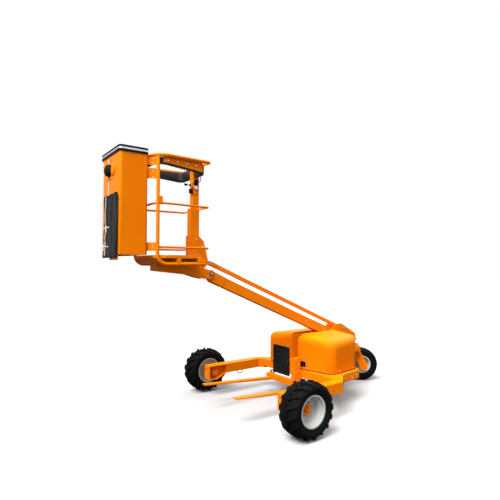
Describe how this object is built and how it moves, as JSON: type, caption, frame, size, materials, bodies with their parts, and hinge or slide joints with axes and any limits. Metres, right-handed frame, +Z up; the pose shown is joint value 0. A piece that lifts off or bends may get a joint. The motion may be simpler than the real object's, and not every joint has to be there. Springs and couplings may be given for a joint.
{
  "type": "orchard work platform",
  "caption": "Three-wheeled self-propelled orchard platform with a lifting boom, a level picking cage, a tall fruit bin and low crate forks.",
  "frame": {"origin": "on the ground in the middle of the machine's outline", "axes": "+X forward, +Y to the machine's left, +Z up"},
  "size_m": [4.1599, 2.317, 2.9],
  "materials": {
    "orange_paint": "gloss",
    "tyre_rubber": "matte",
    "rim_paint": "satin",
    "bare_steel": "satin",
    "black_paint": "satin",
    "cast_grey": "matte",
    "pad_black": "matte",
    "canvas_black": "matte",
    "deck_steel": "matte",
    "rim_trim": "satin",
    "orange_shell": "gloss"
  },
  "bodies": {
    "chassis": {"chassis_frame": "orange_paint", "tower": "orange_paint", "tower_pins": "bare_steel", "left_hood": "orange_shell", "right_hood": "orange_shell", "grille": "black_paint", "engine_block": "cast_grey", "left_leg": "orange_paint", "right_leg": "orange_paint", "left_motor": "cast_grey", "right_motor": "cast_grey", "fork_carrier": "orange_paint", "left_tine": "orange_paint", "right_tine": "orange_paint"},
    "front_left_wheel": {"front_left_tyre": "tyre_rubber", "front_left_rim": "rim_paint", "front_left_hub": "orange_paint"},
    "front_right_wheel": {"front_right_tyre": "tyre_rubber", "front_right_rim": "rim_paint", "front_right_hub": "orange_paint"},
    "rear_steering": {"steer_leg": "orange_paint", "rear_motor": "orange_paint"},
    "rear_wheel": {"rear_tyre": "tyre_rubber", "rear_rim": "rim_paint", "rear_hub": "orange_paint"},
    "boom": {"boom_box": "orange_paint", "boom_knuckle": "orange_paint", "boom_head": "orange_paint"},
    "level_link": {"level_link": "orange_paint"},
    "lift_barrel": {"lift_barrel": "orange_paint"},
    "lift_rod": {"lift_rod": "bare_steel"},
    "cage": {"cage_base": "orange_paint", "mast": "orange_paint", "cage_floor": "deck_steel", "top_ring": "orange_paint", "mid_rail": "orange_paint", "low_rail": "orange_paint", "left_post": "orange_paint", "right_post": "orange_paint", "ring_band": "orange_paint", "ring_pad": "pad_black", "control_box": "black_paint", "bin_shell": "orange_paint", "bin_rim": "rim_trim", "bin_flap": "canvas_black", "bin_brackets": "orange_paint"}
  },
  "joints": [
    {"name": "front_left_roll", "type": "hinge", "parent": "chassis", "child": "front_left_wheel", "pos_m": [0.4, 1.0275, 0.2925], "axis": [0, 1, 0], "continuous": true},
    {"name": "front_right_roll", "type": "hinge", "parent": "chassis", "child": "front_right_wheel", "pos_m": [0.4, -1.0275, 0.2925], "axis": [0, 1, 0], "continuous": true},
    {"name": "rear_steer", "type": "hinge", "parent": "chassis", "child": "rear_steering", "pos_m": [-1.6, 0, 0.52], "axis": [0, 0, 1], "range_deg": [-22, 98]},
    {"name": "rear_roll", "type": "hinge", "parent": "rear_steering", "child": "rear_wheel", "pos_m": [-1.82828, -0.11352, 0.241], "axis": [0.6157, 0.788, 0], "continuous": true},
    {"name": "boom_lift", "type": "hinge", "parent": "chassis", "child": "boom", "pos_m": [-1.24, 0, 0.725], "axis": [0, -1, 0], "range_deg": [-35.9, 37.1]},
    {"name": "link_swing", "type": "hinge", "parent": "chassis", "child": "level_link", "pos_m": [-1.24, 0, 0.853], "axis": [0, -1, 0], "range_deg": [-35.9, 37.1]},
    {"name": "cage_level", "type": "hinge", "parent": "boom", "child": "cage", "pos_m": [0.95518, 0, 1.65228], "axis": [0, 1, 0], "range_deg": [-35.9, 37.1]},
    {"name": "lift_swing", "type": "hinge", "parent": "chassis", "child": "lift_barrel", "pos_m": [-1.22604, 0, 0.32524], "axis": [0, -1, 0], "range_deg": [-17.95, 18.55]},
    {"name": "lift_stroke", "type": "slide", "parent": "lift_barrel", "child": "lift_rod", "axis": [0.5829, 0, 0.8125], "range_m": [-0.14975, 0.15476]}
  ],
  "couplings": [
    {"joint": "link_swing", "follows": "boom_lift", "ratio": 1},
    {"joint": "cage_level", "follows": "boom_lift", "ratio": 1},
    {"joint": "lift_swing", "follows": "boom_lift", "ratio": 0.5},
    {"joint": "lift_stroke", "follows": "boom_lift", "m_per_rad": 0.239}
  ]
}
